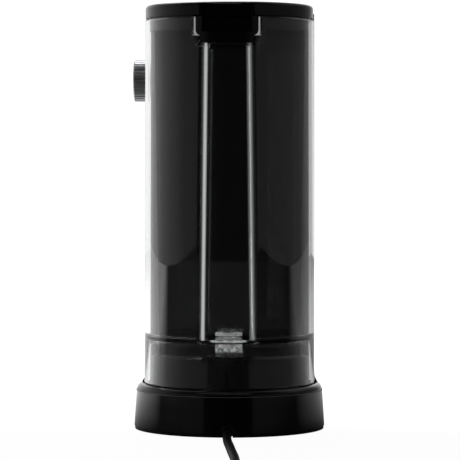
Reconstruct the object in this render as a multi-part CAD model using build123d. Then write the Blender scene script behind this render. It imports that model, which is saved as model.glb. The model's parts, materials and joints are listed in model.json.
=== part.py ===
from build123d import *
import math
import os

# A slim pump espresso machine that stands on a worktop. All sizes are in millimetres.
# The front faces -Y, the removable water tank is at the rear, +X is the machine's right side.
# The origin is on the worktop, under the middle of the base's width.

# Whole machine
height = 320.0

# Base
base_radius = 72.0
base_front = -150.0
base_corner = 34.0
base_bottom = 2.8
base_edge = 29.6
base_top = 34.6
base_draft = 1.6
base_waist = 5.4
waist_y = -12.0
base_wall = 2.5
plate_bottom = 0.5
tray_back = -32.3
tray_floor = 8.0

# Water tank and its seat
tank_centre = 63.5
tank_radius = 64.5
tank_front = 58.2
tank_wall = 2.2
tank_rim = 309.2
seat_radius = 60.0
seat_top = 58.8
tank_floor_bottom = 68.5
tank_floor_top = 71.0
channel_depth_y = 97.0
channel_half_top = 15.6
channel_half_bottom = 18.3
lip_bottom = 289.4
lip_top = 297.7
lip_half = 19.7
notch_half = 23.0
notch_bottom = 295.0
pocket_half = 18.5
pocket_front = 106.0
port_y = 80.0

# Lid and its hinge
lid_bottom = 310.2
lid_inset = 0.9
lid_plate = 2.4
hinge_y = 63.5
hinge_z = 315.0
hinge_pin_radius = 1.2

# Column and head
body_half = 64.5
panel_sheet = 1.2
body_rear = 54.6
body_bottom = 38.6
body_top = 313.0
column_front = -28.0
head_bottom = 207.0
head_front_low = -124.0
head_front_high = -116.0
frame_wall = 2.4
cover_thick = 2.4

# Brewing group and portafilter
group_y = -75.0
group_radius = 36.0
group_bottom = 183.0
handle_length = 108.0
lug_angles = (90, 210, 330)

# Steam knob, valve and wand
knob_y = 5.0
knob_z = 265.0
knob_radius = 16.2
knob_inner = 65.4
knob_outer = 76.2
knob_ribs = 36
wand_x = 47.0
wand_y = -60.0

# Controls on the head's front
button_z = 262.0
button_spacing = 34.0
button_radius = 10.0

# Mains cord
cord_diameter = 6.4
cord_exit = (-1.0, 135.0, 6.0)
relief_length = 22.0
relief_radius = 5.0
coil_centre = (39.2, 384.0)
coil_inner_turn = 25.6
coil_turns = 4
coil_entry_y = 355.0
coil_exit_y = 442.0
cord_rest = 3.3
cord_route = [
    (-1.0, 157.0, 6.0),
    (-1.8, 182.0, 3.9),
    (-4.6, 212.0, 3.3),
    (-7.0, 244.0, 3.3),
    (-9.8, 276.0, 3.3),
    (-11.4, 304.0, 3.3),
    (-11.9, 331.0, 3.3),
    (-12.0, coil_entry_y, 3.3),
]


def block(x0, x1, y0, y1, z0, z1):
    middle = Pos((x0 + x1) / 2, (y0 + y1) / 2, (z0 + z1) / 2)
    return middle * Box(x1 - x0, y1 - y0, z1 - z0)


def upright(radius, z0, z1, x=0.0, y=0.0):
    return Pos(x, y, (z0 + z1) / 2) * Cylinder(radius, z1 - z0)


def across(radius, x0, x1, y, z):
    return Pos((x0 + x1) / 2, y, z) * Rot(0, 90, 0) * Cylinder(radius, x1 - x0)


def lengthways(radius, y0, y1, x, z):
    return Pos(x, (y0 + y1) / 2, z) * Rot(90, 0, 0) * Cylinder(radius, y1 - y0)


def ring(outer, inner, z0, z1, x=0.0, y=0.0):
    return upright(outer, z0, z1, x, y) - upright(inner, z0 - 1, z1 + 1, x, y)


def ring_across(outer, inner, x0, x1, y, z):
    return across(outer, x0, x1, y, z) - across(inner, x0 - 1, x1 + 1, y, z)


def slab(sketch, z0, z1):
    return Pos(0, 0, z0) * extrude(sketch, z1 - z0)


# Outline of the base: a half circle at the rear, sides that draw in towards the tray, a rounded front.
def base_outline(inset):
    half = base_radius - inset
    waist = half - base_waist
    front = base_front + inset
    rear_corners = [(half, tank_centre), (-half, tank_centre)]
    front_corners = [(-waist, waist_y), (-waist, front), (waist, front), (waist, waist_y)]
    ahead = Polygon(*rear_corners, *front_corners, align=None)
    ahead = fillet(ahead.vertices().group_by(Axis.Y)[0], base_corner - inset)
    return ahead + Pos(0, tank_centre) * Circle(half)


# The base's outside: drafted sides, a crisp edge, then a rounded crown.
def base_solid():
    rise = base_edge - base_bottom
    draft_angle = math.degrees(math.atan(base_draft / rise))
    sides = Pos(0, 0, base_bottom) * extrude(base_outline(0), rise, taper=draft_angle)
    crown_height = base_top - base_edge
    crown = extrude(base_outline(base_draft + 0.3), crown_height)
    crown = fillet(crown.faces().sort_by(Axis.Z)[-1].edges(), crown_height - 0.6)
    return sides + Pos(0, 0, base_edge) * crown


def port_hole(radius, z0, z1):
    return upright(radius, z0, z1, 0, port_y)


# Flared foot of the column, from the base's width in to the column's width.
def plinth():
    rear_half = base_radius - base_draft - 1.4
    front_half = rear_half - base_waist
    rear = 57.2
    front = tray_back + 0.5
    corners = [(front_half, front), (rear_half, rear), (-rear_half, rear), (-front_half, front)]
    low = Polygon(*corners, align=None)
    high = Pos(0, (rear + front) / 2) * Rectangle(2 * body_half, rear - front - 2)
    return loft([Pos(0, 0, base_edge + 1) * low.face(), Pos(0, 0, body_bottom) * high.face()])


def make_base_shell():
    shell = base_solid()
    shell -= block(-90, 90, base_front - 10, tray_back, tray_floor, 60)
    shell += plinth() & block(-90, 90, tray_back + 0.1, 57.0, 20, 60)
    inside = slab(base_outline(base_draft + base_wall), base_bottom - 1, 5.5)
    deep = slab(base_outline(base_draft + base_wall), 5, base_edge + 2)
    deep &= block(-90, 90, tray_back + base_wall, 140, 4, base_edge + 2)
    shell -= inside + deep
    shell -= block(-50, 50, -18, 45, 20, 50)
    shell -= port_hole(9.0, 20, 50)
    shell += make_screw_bosses()
    shell -= lengthways(relief_radius, 126, 140, cord_exit[0], cord_exit[2])
    for x, y in screw_places():
        shell -= upright(1.4, 2, screw_top(y), x, y)
    return shell


def make_base_plate():
    plate = slab(base_outline(0.5), plate_bottom, base_bottom - 0.3)
    plate += slab(base_outline(base_draft + base_wall + 0.3), 2, base_bottom + 1)
    for x, y in foot_places():
        plate -= upright(9.0, 0, 2.3, x, y)
    for x, y in screw_places():
        plate -= upright(1.6, 0, 5, x, y)
        plate -= upright(3.1, 0, 2.0, x, y)
    x, y, z = cord_exit
    plate -= block(x - 6.8, x + 6.8, y - 17, y - 4.5, 0, z)
    plate -= block(x - relief_radius - 0.2, x + relief_radius + 0.2, y - 5, y + 5, 0, z)
    return plate


def foot_places():
    return [(-50, -118), (50, -118), (0, 0), (-42, 100), (42, 100)]


def screw_places():
    return [(-54, -60), (54, -60), (-56, 62), (56, 62)]


def make_rubber_feet():
    feet = []
    for x, y in foot_places():
        feet.append(upright(8.6, 0, 2.3, x, y))
    return Compound(feet)


def make_base_screws():
    screws = []
    for x, y in screw_places():
        screw = upright(2.8, 1.2, 2.0, x, y) + upright(1.4, 2.0, screw_top(y), x, y)
        screws.append(screw)
    return Compound(screws)


def screw_top(y):
    return tray_floor - 0.6 if y < tray_back else 20.0


def make_screw_bosses():
    bosses = []
    for x, y in screw_places():
        floor = 6.0 if y < tray_back else base_edge + 3
        bosses.append(upright(4.0, base_bottom + 1, floor, x, y))
    return bosses


# Drip tray: the front of the base, which pulls out forwards.
def make_drip_tray():
    tray = base_solid() & block(-90, 90, base_front - 10, tray_back - 0.5, tray_floor, 60)
    inset = base_draft + 3.2
    hollow = slab(base_outline(inset + 4.0), tray_floor + 2.4, 60)
    hollow &= block(-90, 90, base_front, tray_back - 4.5, 0, 60)
    seat = slab(base_outline(inset), base_top - 3.2, 60)
    seat &= block(-90, 90, base_front, tray_back - 2.5, 0, 60)
    return tray - hollow - seat


def make_drip_grille():
    plate = slab(base_outline(base_draft + 3.5), base_top - 3.2, base_top - 1.9)
    plate &= block(-90, 90, base_front, tray_back - 2.8, 0, 60)
    for row in range(9):
        y = -132 + row * 11
        reach = 40 if row == 0 else 50
        for side in (-1, 1):
            slot = Pos(side * (reach / 2 + 5), y) * SlotOverall(reach - 4, 4.0)
            plate -= slab(slot, 20, 40)
    plate -= upright(3.6, 20, 40, 0, -44)
    return plate


def make_tray_float():
    puck = upright(9.0, tray_floor + 2.5, tray_floor + 8.5, 0, -46.5)
    return puck + upright(3.1, tray_floor + 8, base_top - 1.9, 0, -44)


# Seat that the tank stands over, with the docking port in its middle.
def seat_outline(inset):
    half = seat_radius - inset
    front = tank_front + tank_wall + 0.8 + inset
    disc = Pos(0, tank_centre) * Circle(half)
    return disc & Pos(0, front + 50) * Rectangle(200, 100)


def make_tank_seat():
    seat = slab(seat_outline(0), base_top, seat_top)
    seat = chamfer(seat.faces().sort_by(Axis.Z)[-1].edges(), 2.6)
    seat -= slab(seat_outline(2.5), base_top - 1, 57.0)
    seat -= block(-18.5, 18.5, 108, 130, 54, 62)
    return seat - port_hole(11.5, 50, 70)


def make_docking_port():
    cup = ring(10.0, 8.1, 44, 57.0, 0, port_y) + ring(11.4, 9.0, 55.0, 57.0, 0, port_y)
    cup += ring(10.0, 2.2, 42.5, 44.5, 0, port_y) + ring(3.6, 2.2, 30, 43, 0, port_y)
    cup += block(-3.0, 3.0, port_y - 0.7, port_y + 0.7, 43.5, 45)
    return cup + upright(1.0, 43.5, 50.4, 0, port_y)


def make_port_seal():
    seal = ring(8.05, 5.3, 49, 55, 0, port_y)
    return seal


# Outline of the tank: a half circle with a flat front that faces the column.
def tank_outline(inset):
    half = tank_radius - inset
    front = tank_front + inset
    disc = Pos(0, tank_centre) * Circle(half)
    behind = disc & Pos(0, tank_centre + 50) * Rectangle(200, 100)
    ahead = Pos(0, (front + tank_centre) / 2) * Rectangle(2 * half, tank_centre - front)
    corner = min(3.0, 0.6 * (tank_centre - front))
    ahead = fillet(ahead.vertices().group_by(Axis.Y)[0], corner)
    return behind + ahead


# Finger channel down the tank's rear wall, wider at the bottom by its mould draft.
def channel_solid(grow, z0, z1):
    span = tank_radius + tank_centre - channel_depth_y + 6
    middle = channel_depth_y - grow + span / 2
    low = Pos(0, middle, z0) * Rectangle(2 * (channel_half_bottom + grow), span)
    high = Pos(0, middle, z1) * Rectangle(2 * (channel_half_top + grow), span)
    return loft([low.face(), high.face()])


def make_water_tank():
    tank = slab(tank_outline(0), base_top, tank_rim)
    cavity = slab(tank_outline(tank_wall), tank_floor_top, tank_rim + 1)
    cavity = fillet(cavity.faces().sort_by(Axis.Z)[0].edges(), 1.6)
    cavity -= channel_solid(tank_wall, tank_floor_bottom, lip_bottom)
    skirt = slab(tank_outline(tank_wall), base_top - 1, tank_floor_bottom)
    tank = tank - cavity - skirt
    tank -= channel_solid(0, tank_floor_top, lip_bottom)
    notch = block(-notch_half, notch_half, pocket_front - 12, 131, notch_bottom, tank_rim + 1)
    notch = fillet(notch.edges().filter_by(Axis.Y).group_by(Axis.Z)[0], 4.0)
    tank -= notch
    tank -= block(-lip_half - 0.2, lip_half + 0.2, 110, 131, lip_bottom, notch_bottom + 1)
    for side in (-1, 1):
        inner, outer = sorted((side * 52.0, side * 55.0))
        ear = block(inner, outer, hinge_y - 2.1, hinge_y + 2.1, 300, hinge_z)
        ear += across(2.1, inner, outer, hinge_y, hinge_z)
        ear += block(inner, outer, tank_front + 1, hinge_y + 2.1, 296, 306)
        tank += ear - across(hinge_pin_radius, inner - 1, outer + 1, hinge_y, hinge_z)
    tank -= port_hole(8.0, 60, 80)
    return tank


# Handle moulding in the tank's notch: fingers reach up the channel and hook under its lip.
def make_tank_handle():
    round_rear = slab(tank_outline(0.3), lip_bottom, tank_rim)
    lip = block(-lip_half, lip_half, channel_depth_y - tank_wall, 130, lip_bottom, lip_top)
    pocket = block(-notch_half + 0.2, notch_half - 0.2, pocket_front - 2, 130, notch_bottom + 0.2, tank_rim)
    pocket = fillet(pocket.edges().filter_by(Axis.Y).group_by(Axis.Z)[0], 3.8)
    pocket -= block(-pocket_half, pocket_half, pocket_front, 131, lip_top, tank_rim + 1)
    handle = (lip + pocket) & round_rear
    return handle


def make_tank_lid():
    shell = slab(tank_outline(lid_inset), lid_bottom, height)
    shell = fillet(shell.faces().sort_by(Axis.Z)[-1].edges(), 2.9)
    shell -= slab(tank_outline(lid_inset + 2.0), lid_bottom - 1, height - lid_plate)
    skirt = ring(tank_radius - 4.2, tank_radius - 6.2, 300, height - lid_plate, 0, tank_centre)
    skirt &= block(-80, 80, 72, 140, 299, height)
    skirt -= block(-notch_half - 3, notch_half + 3, 90, 131, 299, lid_bottom)
    lid = shell + skirt
    lid += block(-pocket_half - 2, pocket_half + 2, pocket_front - 2, 126, lid_bottom, height - 1)
    lid -= block(-pocket_half, pocket_half, pocket_front, 131, 299, height - 3)
    lid -= block(-70, 70, 57, hinge_y - 1.0, lid_bottom - 1, lid_bottom + 1.6)
    for side in (-1, 1):
        inner, outer = sorted((side * 51.4, side * 55.6))
        lid -= block(inner, outer, 58, hinge_y + 3, 300, height - lid_plate)
        inner, outer = sorted((side * 48.8, side * 51.4))
        lug = block(inner, outer, hinge_y - 2.1, hinge_y + 2.1, hinge_z, height - lid_plate)
        lug += across(2.1, inner, outer, hinge_y, hinge_z)
        lid += lug
        lid -= across(hinge_pin_radius + 0.05, inner, outer, hinge_y, hinge_z)
    return lid


def make_lid_hinge_pins():
    pins = []
    for side in (-1, 1):
        inner, outer = sorted((side * 49.0, side * 55.0))
        pins.append(across(hinge_pin_radius, inner, outer, hinge_y, hinge_z))
    return Compound(pins)


def make_tank_valve():
    body = ring(10.2, 4.6, 59.5, tank_floor_bottom, 0, port_y)
    body += ring(8.0, 4.6, tank_floor_bottom, tank_floor_top, 0, port_y)
    body += ring(10.2, 4.6, tank_floor_top, 73.5, 0, port_y)
    body += ring(5.0, 3.4, 50.2, 59.5, 0, port_y) + ring(5.0, 2.0, 58.0, 60.0, 0, port_y)
    return body


def make_valve_poppet():
    stem = upright(1.2, 50.9, 76, 0, port_y)
    head = upright(5.6, 74.4, 76.4, 0, port_y)
    return stem + head


def make_valve_seal():
    return ring(5.4, 1.2, 73.6, 74.4, 0, port_y)


def make_valve_spring():
    return ring(4.0, 2.2, 60.2, 73.2, 0, port_y)


# Side view outline of the column and the overhanging head.
def body_profile(inset, rear):
    corners = [
        (column_front + inset, body_bottom),
        (column_front + inset, head_bottom + inset),
        (head_front_low + inset, head_bottom + inset),
        (head_front_high + inset, body_top - inset),
        (rear, body_top - inset),
        (rear, body_bottom),
    ]
    return Polygon(*corners, align=None)


def body_block(half, inset, rear, corner):
    profile = Plane.YZ * body_profile(inset, rear)
    solid = extrude(profile, half, both=True)
    if corner:
        upright_edges = solid.edges().filter_by(Axis.Z).group_by(Axis.Y)[-1]
        solid = fillet(upright_edges, corner)
    return solid


def make_body_frame():
    outer = body_block(body_half - panel_sheet, 0, body_rear - panel_sheet, 8.8)
    inner = body_block(body_half + 5, frame_wall, body_rear - 3.6, 0)
    frame = outer - inner
    floor = block(-63.3, 63.3, column_front + 1, body_rear - 4, body_bottom, body_bottom + 2.4)
    frame += floor & outer
    frame -= block(-48, 48, -15, 40, 30, 50)
    frame -= block(-50, 50, 40, 60, 60, 300)
    frame -= block(-50, 50, -100, 40, 305, 320)
    frame -= block(-52, 52, -130, -105, 232, 296)
    frame -= upright(31.0, 200, 215, 0, group_y)
    frame -= upright(6.6, 200, 215, wand_x, wand_y)
    return frame


def make_side_panel(side):
    outer = body_block(body_half, 0, body_rear, 10.0)
    inner = body_block(body_half - panel_sheet, -5, body_rear - panel_sheet, 8.8)
    sheet = outer - inner
    reach = sorted((side * 50.2, side * 80.0))
    sheet &= block(reach[0], reach[1], -140, 60, body_bottom, body_top)
    if side > 0:
        sheet -= across(7.0, 60, 70, knob_y, knob_z)
    return sheet


def make_rear_panel():
    thick = 2.0
    middle = body_rear + thick / 2
    low = Pos(0, middle, body_bottom + 1) * Rectangle(107, thick)
    high = Pos(0, middle, body_top - 1) * Rectangle(116, thick)
    panel = loft([low.face(), high.face()])
    panel += block(-49.6, 49.6, body_rear - 3.5, body_rear + 1, 60.4, 299.6)
    hollow = block(-47, 47, body_rear - 5, body_rear - 0.4, 63, 297)
    return panel - hollow


def make_top_cover():
    cover = block(-body_half, body_half, head_front_high, body_rear + 1.8, body_top, height - 4.4)
    cover = fillet(cover.edges().filter_by(Axis.Z), 8.0)
    cover = chamfer(cover.faces().sort_by(Axis.Z)[-1].edges(), 1.2)
    cover -= block(-56, 56, -108, 42, height - 5.4, height)
    cover += block(-49.6, 49.6, -99.6, 39.6, 311, body_top)
    for x in (-40, -20, 0, 20, 40):
        cover -= block(x - 1.5, x + 1.5, -80, 20, 310, height - 5.4)
    return cover


def make_cup_plate():
    plate = block(-55.7, 55.7, -107.7, 41.7, height - 5.4, height - 4.2)
    rim = plate - block(-54.5, 54.5, -106.5, 40.5, 300, 330)
    plate += Pos(0, 0, 1.2) * rim
    for column in range(-3, 4):
        for row in range(5):
            plate -= upright(3.0, 300, 330, column * 13.5, -88 + row * 27)
    return plate


# Sloping front of the head, which carries the controls.
def front_face_y(z):
    share = (z - head_bottom) / (body_top - head_bottom)
    return head_front_low + share * (head_front_high - head_front_low)


def make_front_cover():
    tilt = math.degrees(math.atan((head_front_high - head_front_low) / (body_top - head_bottom)))
    plate = RectangleRounded(2 * body_half, 106.0, 9.0)
    middle_z = (head_bottom + body_top) / 2
    cover = extrude(plate, cover_thick)
    cover = Pos(0, front_face_y(middle_z), middle_z) * Rot(90 - tilt, 0, 0) * cover
    for place in (-1, 0, 1):
        cover -= lengthways(button_radius + 0.4, -135, -100, place * button_spacing, button_z)
    for place in (-1, 0, 1):
        cover -= lengthways(2.0, -135, -100, place * button_spacing, button_z + 18)
    return cover


def make_button(place):
    x = place * button_spacing
    face = front_face_y(button_z) - cover_thick - 1.4
    cap = lengthways(button_radius, face, face + 6.5, x, button_z)
    cap = chamfer(cap.faces().sort_by(Axis.Y)[0].edges(), 0.8)
    cap -= lengthways(button_radius - 1.6, face + 2, face + 7, x, button_z)
    return cap + lengthways(2.0, face + 1.5, face + 12, x, button_z)


def make_lamp_lenses():
    lamps = []
    z = button_z + 18
    face = front_face_y(z) - cover_thick - 0.3
    for place in (-1, 0, 1):
        lamps.append(lengthways(1.95, face, face + 7, place * button_spacing, z))
    return Compound(lamps)


def make_switch_board():
    face = front_face_y(button_z) - cover_thick - 1.4
    board = block(-48, 48, face + 16.2, face + 17.8, 244, 294)
    for place in (-1, 0, 1):
        x = place * button_spacing
        board += block(x - 3, x + 3, face + 13.8, face + 16.2, button_z - 3, button_z + 3)
    board += block(-48, -44, face + 15.0, face + 17.8, 240, 244)
    return board


# Steam knob with fine ribs along its axis, on the machine's right side.
def make_steam_knob():
    knob = across(knob_radius, knob_inner, knob_outer, knob_y, knob_z)
    knob = chamfer(knob.faces().sort_by(Axis.X)[-1].edges(), 0.9)
    for rib in range(knob_ribs):
        turn = math.radians(rib * 360 / knob_ribs)
        y = knob_y + (knob_radius + 0.35) * math.cos(turn)
        z = knob_z + (knob_radius + 0.35) * math.sin(turn)
        knob -= across(0.9, knob_inner - 1, knob_outer + 1, y, z)
    knob -= across(3.0, knob_inner - 1, knob_outer - 3, knob_y, knob_z)
    return knob


def make_steam_spindle():
    return across(3.0, 36, knob_outer - 3, knob_y, knob_z)


def make_steam_valve():
    body = block(24, 50, knob_y - 11, knob_y + 11, knob_z - 11, knob_z + 11)
    body = chamfer(body.edges(), 1.2)
    body += across(8.0, 50, 60, knob_y, knob_z)
    body -= across(3.06, 35, 61, knob_y, knob_z)
    body += block(24, 50, knob_y - 3, knob_y + 3, knob_z + 11, body_top - frame_wall - 5.6)
    body += upright(3.0, knob_z - 18, knob_z - 11, 37, knob_y - 5)
    return body + upright(3.0, knob_z - 18, knob_z - 11, 37, knob_y + 5)


def make_wand_nut():
    nut = ring(6.4, 3.5, 200.0, 214.0, wand_x, wand_y)
    collar = slab(Pos(wand_x, wand_y) * RegularPolygon(9.0, 6), 201.5, head_bottom)
    collar -= upright(3.5, 190, 220, wand_x, wand_y)
    clip = ring(9.4, 6.4, head_bottom + frame_wall, head_bottom + frame_wall + 2.5, wand_x, wand_y)
    return nut + collar + clip


def wand_path():
    return FilletPolyline(
        (wand_x, wand_y, 222),
        (wand_x, wand_y, 176),
        (wand_x + 3, wand_y - 12, 128),
        (wand_x + 3, wand_y - 13, 86),
        radius=[22, 30],
    )


def make_steam_wand():
    path = wand_path()
    section = Plane(path @ 0, z_dir=path % 0) * Circle(3.0)
    return sweep(section, path=path)


def make_wand_grip():
    slope = Vector(3, -12, -48)
    middle = Vector(wand_x, wand_y, 176) + slope * 0.5
    plane = Plane(middle, z_dir=slope)
    grip = extrude(plane * (Circle(5.6) - Circle(3.0)), 11, both=True)
    return grip


def make_steam_nozzle():
    x = wand_x + 3
    start = Vector(x, wand_y - 13, 86)
    slope = Vector(0, -1, -42)
    plane = Plane(start + slope * -0.55, z_dir=slope)
    sleeve = extrude(plane * (Circle(6.5) - Circle(3.0)), 26)
    return sleeve + extrude(Plane(start, z_dir=slope) * (Circle(4.0) - Circle(0.8)), 7)


def arc_block(inner, outer, z0, z1, angle, spread):
    sector = ring(outer, inner, z0, z1, 0, group_y)
    points = [(0, 0)]
    for share in (-0.5, -0.17, 0.17, 0.5):
        turn = math.radians(angle + share * spread)
        points.append((60 * math.cos(turn), 60 * math.sin(turn)))
    wedge = Pos(0, group_y) * Polygon(*points, align=None)
    return sector & slab(wedge, z0, z1)


def make_group_head():
    head = ring(group_radius, 29.8, group_bottom, 197, 0, group_y)
    head += upright(group_radius, 197, head_bottom, 0, group_y)
    head += upright(30.8, head_bottom, 218, 0, group_y)
    for angle in lug_angles:
        head += arc_block(27.2, 30.5, group_bottom, group_bottom + 3.4, angle, 40)
    head -= upright(22.0, 194, 197.5, 0, group_y)
    head -= upright(1.8, 190, 218.5, 12, group_y)
    return head - upright(1.5, 190, 206, 0, group_y)


def make_group_gasket():
    return ring(29.4, 24.6, 193.6, 197, 0, group_y)


def make_shower_screen():
    screen = upright(24.2, 192.6, 193.4, 0, group_y) + ring(24.2, 22.4, 193.4, 197, 0, group_y)
    for circle_radius, holes in ((8, 8), (13, 14), (18, 20)):
        for hole in range(holes):
            turn = 2 * math.pi * hole / holes
            x = circle_radius * math.cos(turn)
            y = group_y + circle_radius * math.sin(turn)
            screen -= upright(0.8, 190, 196, x, y)
    return screen - upright(1.6, 190, 198, 0, group_y)


def make_screen_screw():
    return upright(1.5, 192.6, 205, 0, group_y) + upright(4.0, 190.8, 192.6, 0, group_y)


def make_portafilter():
    cup = ring(27.0, 25.6, 158, 190.6, 0, group_y)
    cup += ring(31.5, 26.0, 177.5, 182.2, 0, group_y)
    cup += upright(27.0, 155.5, 158.5, 0, group_y)
    cup = cup - upright(4.0, 150, 160, 0, group_y)
    for angle in lug_angles:
        cup += arc_block(26.6, 29.2, 187.0, 190.6, angle, 36)
    neck = lengthways(6.5, group_y - 45, group_y - 26, 0, 170)
    return cup + neck


def make_portafilter_handle():
    start = group_y - 45
    grip = Pos(0, start, 170) * Rot(90, 0, 0) * Cylinder(13.5, handle_length, align=low_end())
    grip = chamfer(grip.faces().sort_by(Axis.Y)[-1].edges(), 4.5)
    grip = fillet(grip.faces().sort_by(Axis.Y)[0].edges(), 7.0)
    return grip


def low_end():
    return (Align.CENTER, Align.CENTER, Align.MIN)


def make_spout():
    spout = upright(8.0, 144, 155.5, 0, group_y)
    spout += Pos(0, group_y, 144) * Box(44, 14, 8)
    for side in (-1, 1):
        spout += upright(5.5, 130, 142, side * 17, group_y)
    spout = spout - upright(3.0, 142, 156, 0, group_y)
    spout -= Pos(0, group_y, 144) * Box(38, 6, 4)
    for side in (-1, 1):
        spout -= upright(3.0, 129, 143, side * 17, group_y)
    return spout


def make_filter_basket():
    basket = ring(25.3, 24.7, 166.0, 191.6, 0, group_y) + ring(26.8, 24.7, 190.7, 191.6, 0, group_y)
    floor = upright(25.3, 165.4, 166.2, 0, group_y)
    for circle_radius, holes in ((6, 8), (12, 16), (18, 24)):
        for hole in range(holes):
            turn = 2 * math.pi * hole / holes
            x = circle_radius * math.cos(turn)
            floor -= upright(0.5, 160, 170, x, group_y + circle_radius * math.sin(turn))
    return basket + floor


def make_thermoblock():
    block_body = block(-34, 34, -102, -38, 218, 244)
    block_body = fillet(block_body.edges().filter_by(Axis.Z), 8.0)
    lid = block(-34, 34, -102, -38, 244.8, 254)
    lid = fillet(lid.edges().filter_by(Axis.Z), 8.0)
    inlet = upright(3.0, 254, 266, -20, -52) + upright(3.0, 254, 266, 20, -52)
    whole = block_body + lid + slab(Pos(0, -70) * Rectangle(60, 56), 244, 245)
    return whole + inlet


def make_thermostats():
    sensors = []
    for y in (-90, -70):
        sensors.append(upright(7.0, 254, 262, 0, y) + block(-9, 9, y - 3, y + 3, 262, 264))
    return Compound(sensors)


def make_pump_coil():
    coil = block(-47, -7, -8, 30, 108, 150)
    coil = fillet(coil.edges().filter_by(Axis.Z), 5.0)
    return coil - upright(12.05, 100, 160, -27, 11)


def make_pump_body():
    tube = ring(12.0, 8.0, 80, 178, -27, 11)
    tube += ring(12.0, 2.4, 76, 80, -27, 11) + ring(12.0, 2.4, 178, 182, -27, 11)
    tube += ring(4.0, 2.4, 62, 76, -27, 11) + ring(4.0, 2.4, 182, 196, -27, 11)
    return tube


def make_pump_piston():
    return ring(7.6, 2.0, 112, 140, -27, 11)


def make_pump_mounts():
    mounts = []
    for z in (92, 162):
        pad = block(-42, -12, -4, 26, z, z + 7) - upright(12.05, z - 1, z + 8, -27, 11)
        pad += block(-32, -22, column_front + frame_wall, -4, z, z + 7)
        mounts.append(pad)
    return Compound(mounts)


def hose(points, radii, outer, inner):
    path = FilletPolyline(*points, radius=radii)
    plane = Plane(path @ 0, z_dir=path % 0)
    return sweep(plane * (Circle(outer) - Circle(inner)), path=path)


def make_supply_hose():
    points = [(0, port_y, 30.0), (0, port_y, 16), (0, 40, 16), (-27, 11, 20), (-27, 11, 62)]
    return hose(points, [11, 12, 16], 4.0, 2.6)


def make_pressure_hose():
    points = [(-27, 11, 196), (-27, 11, 292), (-20, -52, 292), (-20, -52, 266)]
    return hose(points, [18, 18], 3.0, 1.6)


def make_steam_hoses():
    return Compound([make_boiler_hose(), make_wand_hose()])


def make_boiler_hose():
    points = [(20, -52, 266), (20, -52, 284), (6, -20, 284), (6, 0, 238), (37, 0, 232), (37, 0, 247)]
    return hose(points, [12, 14, 12, 10], 3.0, 1.6)


def make_wand_hose():
    points = [(37, 10, 247), (37, 10, 228), (wand_x, -20, 228), (wand_x, wand_y, 240), (wand_x, wand_y, 222)]
    return hose(points, [11, 14, 9], 3.0, 1.6)


def make_control_board():
    board = block(6, 58, column_front + frame_wall + 5, column_front + frame_wall + 6.6, 96, 196)
    y = column_front + frame_wall + 6.6
    board += block(14, 34, y, y + 16, 112, 128) + block(38, 52, y, y + 12, 160, 180)
    board += block(14, 28, y, y + 20, 160, 184) + lengthways(5, y, y + 22, 46, 130)
    for x, z in ((9, 100), (55, 100), (9, 192), (55, 192)):
        board += lengthways(2.5, column_front + frame_wall, y, x, z)
    return board


def make_strain_relief():
    x, y, z = cord_exit
    low_radius = cord_diameter / 2 + 0.8
    cone = Pos(x, y, z) * Rot(-90, 0, 0) * Cone(relief_radius, low_radius, relief_length, align=low_end())
    collar = lengthways(relief_radius, y - 5, y, x, z)
    flange = lengthways(6.4, y - 7, y - 5, x, z)
    relief = (cone + collar + flange) - lengthways(cord_diameter / 2, 120, y + relief_length + 1, x, z)
    return relief & block(-30, 30, 120, 170, 1.05, 30)


def turn_radii(points):
    radii = []
    for before, here, after in zip(points, points[1:], points[2:]):
        first = Vector(*here) - Vector(*before)
        second = Vector(*after) - Vector(*here)
        half_turn = math.radians(first.get_angle(second)) / 2
        radii.append(0.45 * min(first.length, second.length) / math.tan(half_turn))
    return radii


def make_power_cord():
    radii = turn_radii(cord_route)
    path = FilletPolyline(*cord_route, radius=radii)
    section = Plane(path @ 0, z_dir=path % 0) * Circle(cord_diameter / 2)
    tube = sweep(section, path=path)
    expected = math.pi * (cord_diameter / 2) ** 2 * path.length
    x, y, z = cord_exit
    inside = lengthways(cord_diameter / 2, 122, y + relief_length, x, z)
    print("cord radii", [round(radius) for radius in radii])
    print("cord tube volume", round(tube.volume), "section times length", round(expected))
    return tube + inside


# The put-away length: flat turns side by side, one pass over them and into the plug.
def make_cord_coil():
    x, y = coil_centre
    outer = coil_inner_turn + (coil_turns + 0.5) * cord_diameter + 0.2
    inner = coil_inner_turn - 0.5 * cord_diameter
    low = cord_rest - cord_diameter / 2
    high = cord_rest + cord_diameter / 2
    coil = ring(outer, inner, low, high, x, y)
    coil = chamfer(coil.faces().sort_by(Axis.Z)[-1].edges(), 1.5)
    over = coil_rest_height()
    coil += lengthways(cord_diameter / 2, y + 8, coil_exit_y, x - coil_inner_turn, over)
    start_x = x - coil_inner_turn - coil_turns * cord_diameter
    return coil + lengthways(cord_diameter / 2, coil_entry_y, y, start_x, cord_rest)


def coil_rest_height():
    return cord_rest + cord_diameter - 0.1


def plug_x():
    return coil_centre[0] - coil_inner_turn


# Slim earthed plug with three round pins in a row, lying flat.
def make_plug():
    y = coil_exit_y
    x = plug_x()
    neck = Pos(x, y, coil_rest_height()) * Rot(-90, 0, 0) * Cone(4.4, 6.4, 14, align=low_end())
    back = Plane((x, y + 10, 8.5), x_dir=(1, 0, 0), z_dir=(0, 1, 0)) * RectangleRounded(20, 15, 5)
    front = Plane((x, y + 20, 8.5), x_dir=(1, 0, 0), z_dir=(0, 1, 0)) * RectangleRounded(33, 17, 7)
    body = loft([back.face(), front.face()])
    body += extrude(front, 22)
    return body + (neck & block(x - 20, x + 20, y, y + 20, 0.2, 17))


def make_plug_pins():
    y = coil_exit_y + 42
    pins = []
    for place in (-1, 0, 1):
        pin = lengthways(2.4, y - 6, y + 19, plug_x() + place * 9.5, 8.5)
        pins.append(chamfer(pin.faces().sort_by(Axis.Y)[-1].edges(), 0.8))
    return Compound(pins)


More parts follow.
